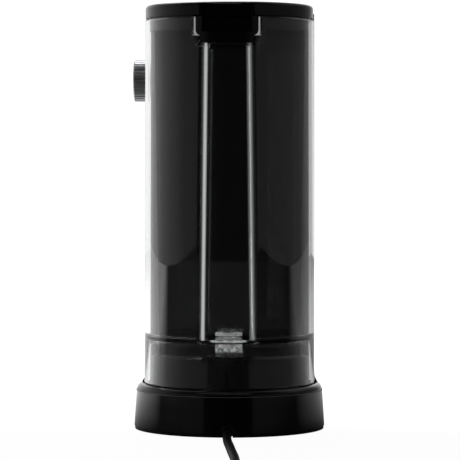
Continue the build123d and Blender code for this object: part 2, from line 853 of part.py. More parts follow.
def make_plug_body():
    plug = make_plug()
    y = coil_exit_y + 42
    for place in (-1, 0, 1):
        plug -= lengthways(2.4, y - 6, y + 1, plug_x() + place * 9.5, 8.5)
    return plug


def main():
    os.makedirs("parts", exist_ok=True)
    pieces = {
        "base_shell": make_base_shell(),
        "base_plate": make_base_plate(),
        "rubber_feet": make_rubber_feet(),
        "base_screws": make_base_screws(),
        "drip_tray": make_drip_tray(),
        "drip_grille": make_drip_grille(),
        "tray_float": make_tray_float(),
        "tank_seat": make_tank_seat(),
        "docking_port": make_docking_port(),
        "port_seal": make_port_seal(),
        "water_tank": make_water_tank(),
        "tank_handle": make_tank_handle(),
        "tank_lid": make_tank_lid(),
        "lid_hinge_pins": make_lid_hinge_pins(),
        "tank_valve": make_tank_valve(),
        "valve_poppet": make_valve_poppet(),
        "valve_seal": make_valve_seal(),
        "valve_spring": make_valve_spring(),
        "body_frame": make_body_frame(),
        "side_panel_right": make_side_panel(1),
        "side_panel_left": make_side_panel(-1),
        "rear_panel": make_rear_panel(),
        "top_cover": make_top_cover(),
        "cup_plate": make_cup_plate(),
        "front_cover": make_front_cover(),
        "power_button": make_button(-1),
        "brew_button": make_button(0),
        "steam_button": make_button(1),
        "lamp_lenses": make_lamp_lenses(),
        "switch_board": make_switch_board(),
        "steam_knob": make_steam_knob(),
        "steam_spindle": make_steam_spindle(),
        "steam_valve": make_steam_valve(),
        "wand_nut": make_wand_nut(),
        "steam_wand": make_steam_wand(),
        "wand_grip": make_wand_grip(),
        "steam_nozzle": make_steam_nozzle(),
        "group_head": make_group_head(),
        "group_gasket": make_group_gasket(),
        "shower_screen": make_shower_screen(),
        "screen_screw": make_screen_screw(),
        "portafilter": make_portafilter(),
        "portafilter_handle": make_portafilter_handle(),
        "coffee_spout": make_spout(),
        "filter_basket": make_filter_basket(),
        "thermoblock": make_thermoblock(),
        "thermostats": make_thermostats(),
        "pump_coil": make_pump_coil(),
        "pump_body": make_pump_body(),
        "pump_piston": make_pump_piston(),
        "pump_mounts": make_pump_mounts(),
        "supply_hose": make_supply_hose(),
        "pressure_hose": make_pressure_hose(),
        "steam_hoses": make_steam_hoses(),
        "control_board": make_control_board(),
        "strain_relief": make_strain_relief(),
        "power_cord": make_power_cord(),
        "cord_coil": make_cord_coil(),
        "plug_body": make_plug_body(),
        "plug_pins": make_plug_pins(),
    }
    print(len(pieces), "pieces")
    for name, shape in pieces.items():
        export_step(shape, "parts/" + name + ".step")


main()
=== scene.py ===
import bmesh
import bpy
import json
import math
import numpy as np
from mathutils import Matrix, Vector
from mathutils.geometry import tessellate_polygon


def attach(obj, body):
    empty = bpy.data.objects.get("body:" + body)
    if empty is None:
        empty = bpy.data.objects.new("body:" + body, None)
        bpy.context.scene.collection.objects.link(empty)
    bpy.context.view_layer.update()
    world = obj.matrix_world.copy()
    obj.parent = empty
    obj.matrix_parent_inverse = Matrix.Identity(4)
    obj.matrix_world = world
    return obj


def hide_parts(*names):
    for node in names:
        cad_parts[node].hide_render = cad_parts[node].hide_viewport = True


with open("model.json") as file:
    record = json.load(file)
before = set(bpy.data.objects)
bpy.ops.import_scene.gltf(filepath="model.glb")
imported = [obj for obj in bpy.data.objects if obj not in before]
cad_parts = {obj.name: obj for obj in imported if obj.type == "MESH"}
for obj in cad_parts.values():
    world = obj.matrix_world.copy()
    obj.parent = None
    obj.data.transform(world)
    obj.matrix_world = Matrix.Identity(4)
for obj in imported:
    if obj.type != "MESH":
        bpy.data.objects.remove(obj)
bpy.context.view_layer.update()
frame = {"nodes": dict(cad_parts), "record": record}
nodes = frame["nodes"]
mm = 0.001
tau = 2 * math.pi


def say(stage):
    print("stage:", stage)


# the camera stands behind the machine and looks at the tank
camera = {
    "place": (-0.0555, 1.935, 0.207),  # metres, a little above the machine's middle
    "turn": 1.7,  # degrees off square
    "lens": 193.0,
    "shift": (0.0015, -0.163),
}
cameraData = bpy.data.cameras.new("camera")
cameraData.lens = camera["lens"]
cameraData.sensor_width = 36
cameraData.shift_x, cameraData.shift_y = camera["shift"]
cameraData.clip_end = 50
cameraObject = bpy.data.objects.new("camera", cameraData)
cameraObject.location = camera["place"]
cameraObject.rotation_euler = (math.pi / 2, 0, math.pi + math.radians(camera["turn"]))
bpy.context.scene.collection.objects.link(cameraObject)
bpy.context.scene.camera = cameraObject
say("camera")


# a hex colour as linear values
def hexColour(code):
    parts = np.array([int(code[i:i + 2], 16) for i in (0, 2, 4)]) / 255
    linear = np.where(parts <= 0.04045, parts / 12.92, ((parts + 0.055) / 1.055) ** 2.4)
    return (*linear.tolist(), 1.0)


# a shader node with its settings; an input is a value or the socket it is linked from
def addNode(tree, kind, settings=None, inputs=None):
    node = tree.nodes.new(kind)
    for name, value in (settings or {}).items():
        setattr(node, name, value)
    for name, value in (inputs or {}).items():
        if isinstance(value, bpy.types.NodeSocket):
            tree.links.new(value, node.inputs[name])
        else:
            node.inputs[name].default_value = value
    return node


# a Principled material; surface holds plain socket values
def newMaterial(name, surface):
    material = bpy.data.materials.new(name)
    material.use_nodes = True
    shader = material.node_tree.nodes["Principled BSDF"]
    for socket, value in surface.items():
        shader.inputs[socket].default_value = value
    return material, material.node_tree, shader


# Object coordinates, stretched so that a pattern's grain runs along one axis
def coordinates(tree, stretch=(1, 1, 1)):
    place = addNode(tree, "ShaderNodeTexCoord").outputs["Object"]
    return addNode(tree, "ShaderNodeMapping", inputs={"Vector": place, "Scale": stretch}).outputs["Vector"]


def noise(tree, vector, scale, detail=4.0, roughness=0.55):
    settings = {"Vector": vector, "Scale": scale, "Detail": detail, "Roughness": roughness}
    return addNode(tree, "ShaderNodeTexNoise", inputs=settings).outputs["Fac"]


# a value's 0 to 1 opened out to low and high
def spread(tree, value, low, high):
    return remap(tree, value, (0.0, 1.0), (low, high))


def remap(tree, value, source, result):
    limits = {"From Min": source[0], "From Max": source[1], "To Min": result[0], "To Max": result[1]}
    return addNode(tree, "ShaderNodeMapRange", inputs={"Value": value, **limits}).outputs["Result"]


def mathNode(tree, operation, first, second=0.0):
    return addNode(tree, "ShaderNodeMath", {"operation": operation}, {0: first, 1: second}).outputs[0]


# one number blended into another; share 0 gives the first
def blend(tree, share, first, second):
    return addNode(tree, "ShaderNodeMix", {"data_type": "FLOAT"}, {0: share, 2: first, 3: second}).outputs[0]


def twoColours(tree, value, first, second):
    node = addNode(tree, "ShaderNodeMix", {"data_type": "RGBA"}, {0: value})
    node.inputs[6].default_value = hexColour(first)
    node.inputs[7].default_value = hexColour(second)
    return node.outputs[2]


def bump(tree, shader, height, distance, strength=1.0):
    inputs = {"Height": height, "Distance": distance, "Strength": strength}
    node = addNode(tree, "ShaderNodeBump", inputs=inputs)
    tree.links.new(node.outputs["Normal"], shader.inputs["Normal"])


def paint(piece, material):
    piece.data.materials.clear()
    piece.data.materials.append(material)
    return piece


# polished ABS: deep black with a faint swirl of handling haze in its gloss
def glossBlackAbs():
    material, tree, shader = newMaterial("polishedBlackAbs", {"IOR": 1.53})
    vector = coordinates(tree)
    hazeAndPaintedHighlight = noise(tree, vector, 38, 3)
    tree.links.new(twoColours(tree, hazeAndPaintedHighlight, "060607", "0b0b0c"), shader.inputs["Base Color"])
    tree.links.new(spread(tree, hazeAndPaintedHighlight, 0.05, 0.14), shader.inputs["Roughness"])
    bump(tree, shader, noise(tree, vector, 120, 2), 0.02 * mm, 0.3)
    return material


# spark-eroded ABS: satin black with a fine even grain, about 0.35 mm
def satinBlackAbs():
    material, tree, shader = newMaterial("satinBlackAbs", {"IOR": 1.53})
    vector = coordinates(tree)
    grain = noise(tree, vector, 0.5 / (0.35 * mm), 2)
    cloud = noise(tree, vector, 26, 3)
    tree.links.new(twoColours(tree, cloud, "060607", "0b0b0c"), shader.inputs["Base Color"])
    tree.links.new(spread(tree, cloud, 0.18, 0.26), shader.inputs["Roughness"])
    bump(tree, shader, grain, 0.03 * mm, 0.5)
    return material


# plain moulded polypropylene for what sits inside: dull black with cloudy gloss
def innerBlackPlastic():
    material, tree, shader = newMaterial("mouldedBlackPolypropylene", {"IOR": 1.49})
    vector = coordinates(tree)
    cloud = noise(tree, vector, 30, 4)
    tree.links.new(twoColours(tree, cloud, "0d0d0f", "151517"), shader.inputs["Base Color"])
    tree.links.new(spread(tree, cloud, 0.34, 0.5), shader.inputs["Roughness"])
    return material


# clear SAN: glassy and colourless, with slow moulding waves along its height; where a piece's edge attribute
# is set, a painted highlight stands on its rounded edges: a white surface and a white glow in place of the
# bright lines the clear wall shows there
def clearSan():
    surface = {"Base Color": hexColour("fbfcfc"), "IOR": 1.57, "Transmission Weight": 1.0, "Roughness": 0.0}
    material, tree, shader = newMaterial("clearMouldedSan", surface)
    wave = noise(tree, coordinates(tree, (1, 1, 0.15)), 45, 1)
    bump(tree, shader, wave, 0.25 * mm, 0.12)
    # painted highlight mask: how much painted white and glow each point gets
    hazeAndPaintedHighlight = addNode(tree, "ShaderNodeAttribute", {"attribute_name": "hazeAndPaintedHighlight"}).outputs["Fac"]
    highlightWhite = {"Color": hexColour("f4f6f6")}
    satin = addNode(tree, "ShaderNodeBsdfDiffuse", inputs=highlightWhite).outputs[0]
    through = addNode(tree, "ShaderNodeBsdfTranslucent", inputs=highlightWhite).outputs[0]
    paintedWhiteSurface = addNode(tree, "ShaderNodeMixShader", inputs={0: 0.5, 1: satin, 2: through}).outputs[0]
    # painted glow: white emission that lights the edges though they are no lamp
    paintedGlow = addNode(tree, "ShaderNodeEmission", inputs={**highlightWhite, "Strength": 0.45}).outputs[0]
    edge = addNode(tree, "ShaderNodeAddShader", inputs={0: paintedWhiteSurface, 1: paintedGlow}).outputs[0]
    wall = addNode(tree, "ShaderNodeMixShader", inputs={0: hazeAndPaintedHighlight, 1: shader.outputs[0], 2: edge}).outputs[0]
    tree.links.new(wall, tree.nodes["Material Output"].inputs["Surface"])
    return material


# natural polypropylene: milky and pale, with a speckle of bubbles
def naturalPolypropylene(name="naturalPolypropylene"):
    surface = {"IOR": 1.49, "Transmission Weight": 0.12, "Roughness": 0.22, "Subsurface Weight": 0.25,
               "Subsurface Scale": 2 * mm}
    material, tree, shader = newMaterial(name, surface)
    cloud = noise(tree, coordinates(tree), 260, 3)
    colour = twoColours(tree, spread(tree, cloud, -0.6, 1.6), "8c8f8e", "ffffff")
    tree.links.new(colour, shader.inputs["Base Color"])
    bump(tree, shader, cloud, 0.6 * mm, 0.6)
    return material


# the same plastic in the tank's outlet valve, with painted glints: its upper part glows in specks of white
# emission that stand in for light sparkling in it from one side
def glintPaintedPolypropylene():
    material = naturalPolypropylene("naturalPolypropylenePaintedGlints")
    tree = material.node_tree
    shader = tree.nodes["Principled BSDF"]
    shader.inputs["Emission Color"].default_value = hexColour("e8ecec")
    # painted glints: bright specks of emission, on the upper part only
    paintedGlints = spread(tree, noise(tree, coordinates(tree), 420, 2), -0.35, 0.75)
    place = addNode(tree, "ShaderNodeTexCoord").outputs["Generated"]
    height = addNode(tree, "ShaderNodeSeparateXYZ", inputs={"Vector": place}).outputs["Z"]
    upper = remap(tree, height, (0.52, 0.6), (0.0, 1.0))
    tree.links.new(mathNode(tree, "MULTIPLY", paintedGlints, upper), shader.inputs["Emission Strength"])
    return material


# brushed stainless sheet: fine streaks in tone and bump, and a gloss that spreads across the grain
def brushedStainless(name, stretch, dark, light):
    material, tree, shader = newMaterial(name, {"Metallic": 1.0, "Anisotropic": 0.6})
    vector = coordinates(tree, stretch)
    streak = noise(tree, vector, 60, 6, 0.7)
    tree.links.new(twoColours(tree, streak, dark, light), shader.inputs["Base Color"])
    tree.links.new(spread(tree, streak, 0.4, 0.58), shader.inputs["Roughness"])
    bump(tree, shader, streak, 0.02 * mm, 0.35)
    return material


# chrome over a polished blank, with slight haze
def chromePlate(name="brightChrome", dark="c4c6c9", rough=(0.03, 0.1)):
    material, tree, shader = newMaterial(name, {"Metallic": 1.0})
    hazeAndPaintedHighlight = noise(tree, coordinates(tree), 90, 4)
    tree.links.new(twoColours(tree, hazeAndPaintedHighlight, dark, "e2e3e5"), shader.inputs["Base Color"])
    tree.links.new(spread(tree, hazeAndPaintedHighlight, *rough), shader.inputs["Roughness"])
    return material


# die-cast aluminium: dull grey with a cast skin
def castAluminium():
    material, tree, shader = newMaterial("dieCastAluminium", {"Metallic": 1.0})
    skin = noise(tree, coordinates(tree), 300, 5)
    tree.links.new(twoColours(tree, skin, "8d8f92", "b2b4b6"), shader.inputs["Base Color"])
    tree.links.new(spread(tree, skin, 0.35, 0.55), shader.inputs["Roughness"])
    bump(tree, shader, skin, 0.05 * mm, 0.5)
    return material


# machined brass: warm yellow with turning marks
def machinedBrass():
    material, tree, shader = newMaterial("machinedBrass", {"Metallic": 1.0})
    turn = noise(tree, coordinates(tree, (6, 1, 1)), 200, 4)
    tree.links.new(twoColours(tree, turn, "b08a45", "d8b46a"), shader.inputs["Base Color"])
    tree.links.new(spread(tree, turn, 0.2, 0.35), shader.inputs["Roughness"])
    return material


# moulded rubber: near black, dry, with a fine bloom
def blackRubber():
    material, tree, shader = newMaterial("mouldedRubber", {"IOR": 1.5})
    bloom = noise(tree, coordinates(tree), 160, 5)
    tree.links.new(twoColours(tree, bloom, "111112", "1d1d1e"), shader.inputs["Base Color"])
    tree.links.new(spread(tree, bloom, 0.55, 0.75), shader.inputs["Roughness"])
    bump(tree, shader, bloom, 0.05 * mm, 0.4)
    return material


# silicone tube and seals: cloudy and off-white
def siliconeTube():
    surface = {"IOR": 1.41, "Transmission Weight": 0.3, "Roughness": 0.4}
    material, tree, shader = newMaterial("translucentSilicone", surface)
    cloud = noise(tree, coordinates(tree), 120, 3)
    tree.links.new(twoColours(tree, cloud, "c9c6bd", "e2dfd6"), shader.inputs["Base Color"])
    return material


# PVC sheath and moulded plug: smooth black with a soft sheen
def blackPvc():
    material, tree, shader = newMaterial("blackPvc", {"IOR": 1.53})
    skin = noise(tree, coordinates(tree), 260, 3)
    tree.links.new(twoColours(tree, skin, "0b0b0c", "121213"), shader.inputs["Base Color"])
    tree.links.new(spread(tree, skin, 0.24, 0.36), shader.inputs["Roughness"])
    bump(tree, shader, skin, 0.02 * mm, 0.3)
    return material


# nickel plating over brass: a slightly yellow, worn shine
def nickelPins():
    return chromePlate("nickelPlatedBrass", "b9ad93", (0.12, 0.25))


# amber lamp lens: a clear, warm spot with a pebbled skin
def amberLens():
    surface = {"Base Color": hexColour("d98a3a"), "IOR": 1.5, "Transmission Weight": 0.5, "Roughness": 0.15}
    material, tree, shader = newMaterial("amberLens", surface)
    bump(tree, shader, noise(tree, coordinates(tree), 900, 2), 0.05 * mm, 0.4)
    return material


# red polystyrene: the float stands out against the black tray
def redFloat():
    material, tree, shader = newMaterial("redPolystyrene", {"IOR": 1.55})
    cloud = noise(tree, coordinates(tree), 80, 3)
    tree.links.new(twoColours(tree, cloud, "9c1410", "b81c16"), shader.inputs["Base Color"])
    tree.links.new(spread(tree, cloud, 0.15, 0.3), shader.inputs["Roughness"])
    return material


# glass fibre board: green with a fine weave
def circuitBoard():
    material, tree, shader = newMaterial("glassFibreBoard", {"IOR": 1.5, "Roughness": 0.4})
    weave = noise(tree, coordinates(tree), 500, 2)
    tree.links.new(twoColours(tree, weave, "0d3a1c", "17552b"), shader.inputs["Base Color"])
    return material


# varnished copper wire: brown bands of turns
def copperWinding():
    material, tree, shader = newMaterial("varnishedCopper", {"Metallic": 0.8})
    turns = noise(tree, coordinates(tree, (1, 1, 12)), 90, 3)
    tree.links.new(twoColours(tree, turns, "6b3417", "a35a2c"), shader.inputs["Base Color"])
    tree.links.new(spread(tree, turns, 0.3, 0.5), shader.inputs["Roughness"])
    return material


slotMaterials = {
    "gloss_black": glossBlackAbs(),
    "satin_black": satinBlackAbs(),
    "inner_black": innerBlackPlastic(),
    "clear_tank": clearSan(),
    "valve_grey": naturalPolypropylene(),
    "brushed_steel": brushedStainless("uprightBrushedStainless", (12, 12, 0.35), "c9c9c7", "ecebe8"),
    "tray_steel": brushedStainless("lengthwaysBrushedStainless", (12, 0.35, 12), "a2a2a0", "d2d1ce"),
    "chromed": chromePlate(),
    "knob_metal": chromePlate("satinChrome", "a9aaad", (0.26, 0.4)),
    "cast_alloy": castAluminium(),
    "brass": machinedBrass(),
    "spring_steel": chromePlate("drawnSteelWire", "8f9092", (0.2, 0.32)),
    "zinc_screw": chromePlate("zincPlatedSteel", "9a9c9f", (0.25, 0.4)),
    "rubber_black": blackRubber(),
    "silicone": siliconeTube(),
    "float_red": redFloat(),
    "lamp": amberLens(),
    "button_metal": chromePlate("satinMetallisedPlastic", "9fa1a4", (0.16, 0.26)),
    "board": circuitBoard(),
    "copper": copperWinding(),
    "cord_pvc": blackPvc(),
    "plug_pvc": blackPvc(),
    "pin_metal": nickelPins(),
}
nodeSlot = {part["node"]: part["material_slot"] for part in frame["record"]["subparts"]}
for nodeName, node in nodes.items():
    paint(node, slotMaterials[nodeSlot[nodeName]])
paint(nodes["tank_valve"], glintPaintedPolypropylene())
say("materials")

# the mains cord, in millimetres: out of the base, along the table and into a flat coil that ends at the plug
mainsCord = {
    "diameter": 6.4,
    "exit": (-1.0, 135.0, 6.0),
    "route": [
        (-1.0, 157.0, 6.0), (-1.8, 182.0, 3.9), (-4.6, 212.0, 3.3), (-7.0, 244.0, 3.3),
        (-9.8, 276.0, 3.3), (-11.4, 304.0, 3.3), (-11.9, 331.0, 3.3), (-12.0, 355.0, 3.3),
    ],
    "coilCentre": (39.2, 384.0),
    "innerTurn": 25.6,
    "turns": 4,
    "pointsPerTurn": 16,
    "crossing": [(13.6, 402.0, 9.3), (13.6, 424.0, 9.6), (13.6, 440.0, 9.6)],
}


# flat turns: the radius falls by one diameter a turn while the angle runs clockwise
def coilPoints(size):
    count = size["turns"] * size["pointsPerTurn"] + 1
    turn = np.arange(count) / size["pointsPerTurn"]
    radius = size["innerTurn"] + (size["turns"] - turn) * size["diameter"]
    angle = math.pi - tau * turn
    x = size["coilCentre"][0] + radius * np.cos(angle)
    y = size["coilCentre"][1] + radius * np.sin(angle)
    rise = np.clip((turn - size["turns"] + 0.12) / 0.12, 0, 1)  # the last bit climbs over the others
    z = 3.3 + 1.2 * rise
    return np.stack([x, y, z], 1)


def makeCord(size):
    start = np.array([[size["exit"][0], size["exit"][1] + 4, size["exit"][2]]])
    points = np.vstack([start, size["route"], coilPoints(size), size["crossing"]]) * mm
    curve = bpy.data.curves.new("mainsCord", "CURVE")
    curve.dimensions = "3D"
    curve.bevel_depth = size["diameter"] / 2 * mm
    curve.bevel_resolution = 6
    curve.use_fill_caps = True
    spline = curve.splines.new("NURBS")
    spline.points.add(len(points) - 1)
    spline.points.foreach_set("co", np.hstack([points, np.ones((len(points), 1))]).ravel())
    spline.order_u = 3
    spline.use_endpoint_u = True
    spline.resolution_u = 8
    cordObject = bpy.data.objects.new("mainsCord", curve)
    bpy.context.scene.collection.objects.link(cordObject)
    return paint(cordObject, slotMaterials["cord_pvc"])


cordObject = makeCord(mainsCord)
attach(cordObject, "machine")
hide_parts("power_cord", "cord_coil")
say("cord")

# the water tank, in millimetres: a clear shell with a finger channel down its rear and a notch under the lid
waterTank = {
    "centre": 63.5,
    "radius": (64.5, 64.0),  # at the foot and at the rim
    "front": 58.2,
    "corner": 3.0,
    "wall": 2.2,
    "foot": 34.6,
    "floor": (68.5, 71.0),
    "rim": 309.2,
    "channelHalf": (16.5, 14.0),
    "channelFloor": 97.0,
    "lip": 289.4,
    "lipHalf": 20.1,
    "notchHalf": 23.2,
    "notch": 295.0,
    "notchCorner": 4.0,
    "recessFloor": 94.4,
    "innerFillet": 1.2,
    "edgeFillet": 5.6,
    "lipFillet": 0.9,
    "floorFillet": 1.6,
    "portPoints": 48,
    "port": (0.0, 80.0, 8.0),
}
outlineCounts = {  # points on each stretch of half the outline
    "floor": 6,
    "fillet": 7,
    "wall": 5,
    "edge": 17,
    "arc": 56,
    "side": 3,
    "corner": 7,
    "front": 7,
}
notchSteps = (-0.01, 0.02, 0.2, 0.6, 1.3, 2.4, 4)  # heights from the notch's foot, up its round corner


def arcPoints(centre, radius, first, last, count):
    angle = np.linspace(first, last, count)
    return np.stack([centre[0] + radius * np.cos(angle), centre[1] + radius * np.sin(angle)], 1)


# one closed outline of the tank: channel floor, fillet, channel wall, rounded edge, round rear, side, front
def tankOutline(size, radius, inset, half, floorY, rounding=None):
    count = outlineCounts
    outer = radius - inset
    wallX = half + inset
    bottomY = floorY - inset
    inner = size["innerFillet"] + inset
    edge = max((rounding or size["edgeFillet"]) - inset, 0.5)
    across = wallX + edge
    edgeY = size["centre"] + math.sqrt((outer - edge) ** 2 - across ** 2)
    meet = math.atan2(edgeY - size["centre"], across)
    front = size["front"] + inset
    corner = max(min(size["corner"], 0.6 * (size["centre"] - front)), 0.5)
    parts = [
        np.linspace((0, bottomY), (wallX - inner, bottomY), count["floor"])[:-1],
        arcPoints((wallX - inner, bottomY + inner), inner, -math.pi / 2, 0, count["fillet"]),
        np.linspace((wallX, bottomY + inner), (wallX, edgeY), count["wall"])[1:-1],
        arcPoints((across, edgeY), edge, math.pi, meet, count["edge"]),
        arcPoints((0, size["centre"]), outer, meet, 0, count["arc"])[1:],
        np.linspace((outer, size["centre"]), (outer, front + corner), count["side"])[1:-1],
        arcPoints((outer - corner, front + corner), corner, 0, -math.pi / 2, count["corner"]),
        np.linspace((outer - corner, front), (0, front), count["front"])[1:],
    ]
    right = np.vstack(parts)
    left = right[-2:0:-1] * (-1, 1)
    return np.vstack([right, left])


# the same number of points with the channel filled: its points are spread on the round rear
def plainOutline(size, radius, inset):
    outline = tankOutline(size, radius, inset, size["channelHalf"][0], size["channelFloor"])
    count = outlineCounts
    joined = count["floor"] - 1 + count["fillet"] + count["wall"] - 2 + count["edge"]
    last = outline[joined - 1]
    meet = math.atan2(last[1] - size["centre"], last[0])
    angle = np.linspace(math.pi / 2, meet, joined)
    rear = np.stack([np.cos(angle), np.sin(angle)], 1) * (radius - inset) + (0, size["centre"])
    outline[:joined] = rear
    outline[-(joined - 1):] = rear[:0:-1] * (-1, 1)
    return outline


def tankRadius(size, z):
    share = (z - size["foot"]) / (size["rim"] - size["foot"])
    return size["radius"][0] + share * (size["radius"][1] - size["radius"][0])


# half width of the channel at a height: drafted channel, lip recess, then the notch with round lower corners
def channelAt(size, z):
    if z < size["lip"] - 1e-6:
        share = (z - size["floor"][1]) / (size["lip"] - size["floor"][1])
        return size["channelHalf"][0] + share * (size["channelHalf"][1] - size["channelHalf"][0])
    rise = min(max(z - size["notch"], 0), size["notchCorner"])
    drop = size["notchCorner"] - rise
    notch = size["notchHalf"] - size["notchCorner"] + math.sqrt(size["notchCorner"] ** 2 - drop ** 2)
    return max(size["lipHalf"], notch) if z >= size["notch"] else size["lipHalf"]


# triangles between an outline and a hole in it
def fillWithHole(outline, hole, outlineStart, holeStart):
    loops = [[Vector((*point, 0)) for point in loop] for loop in (outline, hole)]
    numbers = [*range(outlineStart, outlineStart + len(outline)), *range(holeStart, holeStart + len(hole))]
    return [[numbers[corner] for corner in face] for face in tessellate_polygon(loops)]


# four-sided faces between rings of the same number of points
def gridFaces(rings, points, start=0):
    i = np.arange(rings - 1)[:, None] * points + start
    j = np.arange(points)[None, :]
    k = (j + 1) % points
    return np.stack([i + j, i + k, i + k + points, i + j + points], -1).reshape(-1, 4)


# a smooth-shaded piece from points in millimetres, with edges over sharp degrees kept crisp
def newMesh(name, points, faces, sharp=35):
    mesh = bpy.data.meshes.new(name)
    mesh.from_pydata((np.asarray(points) * mm).tolist(), [], [list(map(int, face)) for face in faces])
    work = bmesh.new()
    work.from_mesh(mesh)
    bmesh.ops.remove_doubles(work, verts=work.verts, dist=1e-6)
    bmesh.ops.recalc_face_normals(work, faces=work.faces)
    work.to_mesh(mesh)
    work.free()
    mesh.shade_smooth()
    mesh.set_sharp_from_angle(angle=math.radians(sharp))
    piece = bpy.data.objects.new(name, mesh)
    bpy.context.scene.collection.objects.link(piece)
    return piece


# rings go up the outside, over the rim and down the inside to the floor
def makeWaterTank(size):
    wall = size["wall"]
    foot, rim = size["foot"], size["rim"]
    ceiling, floorTop = size["floor"]
    lip, notch = size["lip"], size["notch"]
    recess, notchHalf = size["recessFloor"], size["notchHalf"]
    fillet = size["floorFillet"]
    rings = []

    def plain(z, inset):
        rings.append((z, plainOutline(size, tankRadius(size, z), inset)))

    def grooved(z, inset, half=None, depth=None):
        half = channelAt(size, z) if half is None else half
        depth = (size["channelFloor"] if z < lip else recess) if depth is None else depth
        rounding = size["lipFillet"] if z >= lip - wall - 1e-6 and depth == recess else None
        rings.append((z, tankOutline(size, tankRadius(size, z), inset, half, depth, rounding)))

    for drop, inset in ((0, wall + 1.2), (0.35, wall + 0.35), (1.2, wall)):  # rounded under the floor
        plain(ceiling - drop, inset)
    halfTurn = np.linspace(0, math.pi, 9)
    for turn in halfTurn:  # round foot of the skirt
        plain(foot + wall / 2 * (1 - math.sin(turn)), wall / 2 * (1 + math.cos(turn)))
    for z in (foot + 1.6, foot + 6, foot + 20, floorTop - 0.5, floorTop):
        plain(z, 0)
    up = (floorTop, floorTop + 0.4, *np.linspace(floorTop + 12, lip - 12, 12), lip - 0.4, lip)
    for z in up:
        grooved(z, 0, depth=size["channelFloor"], half=channelAt(size, min(z, lip - 1e-3)))
    grooved(lip, 0)
    for step in notchSteps:
        grooved(notch + step, 0)
    grooved(rim - 1.6, 0, half=notchHalf)
    for turn in halfTurn:  # round rim
        grooved(rim - wall / 2 * (1 - math.sin(turn)), wall / 2 * (1 - math.cos(turn)), half=notchHalf)
    grooved(rim - 1.6, wall, half=notchHalf)
    for step in notchSteps[::-1]:
        grooved(notch + step - wall, wall, half=channelAt(size, notch + step), depth=recess)
    grooved(lip - wall, wall, half=size["lipHalf"], depth=recess)
    down = (lip - wall, *np.linspace(lip - 12, floorTop + 12, 12), floorTop + 2, floorTop + fillet)
    for z in down:
        grooved(z, wall)
    for turn in np.linspace(0.2, math.pi / 2, 6):  # fillet down to the floor
        grooved(floorTop + fillet * (1 - math.sin(turn)), wall + fillet * (1 - math.cos(turn)),
                half=size["channelHalf"][0], depth=size["channelFloor"])

    count = len(rings[0][1])
    points = np.vstack([np.column_stack([outline, np.full(count, z)]) for z, outline in rings])
    faces = gridFaces(len(rings), count).tolist()
    x, y, radius = size["port"]
    around = size["portPoints"]
    hole = arcPoints((x, y), radius, 0, tau, around + 1)[:-1]
    holes = np.vstack([np.column_stack([hole, np.full(around, z)]) for z in size["floor"]])
    start = len(points)
    faces += gridFaces(2, around, start).tolist()
    faces += fillWithHole(rings[0][1], hole, 0, start)
    faces += fillWithHole(rings[-1][1], hole, start - count, start + around)
    return newMesh("waterTank", np.vstack([points, holes]), faces)


# painted highlights on the clear wall: the channel's two rounded edges, and the edge of the notch; brighter
# on the machine's right, where the light falls
paintedEdgeHighlights = {
    "strength": (0.95, 0.26),  # on the machine's right and on its left
    "pastWall": (1.3, 2.7),  # from the channel's side wall to the brightest line
    "fade": (0.8, 0.5),  # away from the channel and towards it
    "band": 4.0,
    "notchStrength": 0.6,
    "notchBand": 1.2,
    "depth": 1.0,  # how far inside the round rear the notch's edge counts
}


# writes how much painted highlight each point gets to the point attribute that the clear plastic reads
def paintEdgeHighlights(tank, size, edges):
    place = np.zeros(len(tank.data.vertices) * 3)
    tank.data.vertices.foreach_get("co", place)
    x, y, z = place.reshape(-1, 3).T / mm
    aside, onRight = abs(x), x > 0
    floorTop, lip, notch = size["floor"][1], size["lip"], size["notch"]
    half = np.interp(z, (floorTop, lip), size["channelHalf"])
    fillet = size["edgeFillet"]
    filletY = size["centre"] + np.sqrt((size["radius"][1] - fillet) ** 2 - (half + fillet) ** 2)
    channel = (aside > half - 0.05) & (aside < half + fillet + edges["band"])
    channel &= (y > filletY - edges["notchBand"]) & (z > floorTop) & (z < lip + 0.1)
    off = aside - half - np.where(onRight, *edges["pastWall"])
    bell = np.exp(-0.5 * (off / np.where(off > 0, *edges["fade"])) ** 2)
    hazeAndPaintedHighlight = channel * bell * np.where(onRight, *edges["strength"])
    inside = np.interp(z, (size["foot"], size["rim"]), size["radius"]) - np.hypot(x, y - size["centre"])
    cut = (z > notch + 0.01) & (z < size["rim"] - 0.5) & (y > size["centre"])
    cut &= (inside < edges["depth"]) & (aside < size["notchHalf"] + edges["notchBand"])
    hazeAndPaintedHighlight[cut] = edges["notchStrength"]
    tank.data.attributes.new("hazeAndPaintedHighlight", "FLOAT", "POINT").data.foreach_set("value", hazeAndPaintedHighlight)


tankPiece = paint(makeWaterTank(waterTank), slotMaterials["clear_tank"])
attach(tankPiece, "water_tank")
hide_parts("water_tank")
paintEdgeHighlights(tankPiece, waterTank, paintedEdgeHighlights)
say("tank")

# a fine bead where the base's sides end under the crown, light grey, as a painted highlight line along that
# edge
baseHighlightBead = {
    "centre": 63.5,
    "half": 70.45,
    "waist": 65.1,
    "waistY": -12.0,
    "end": -104.0,
    "level": 29.65,
    "radius": 0.24,
    "rearPoints": 97,
    "sides": 8,
}


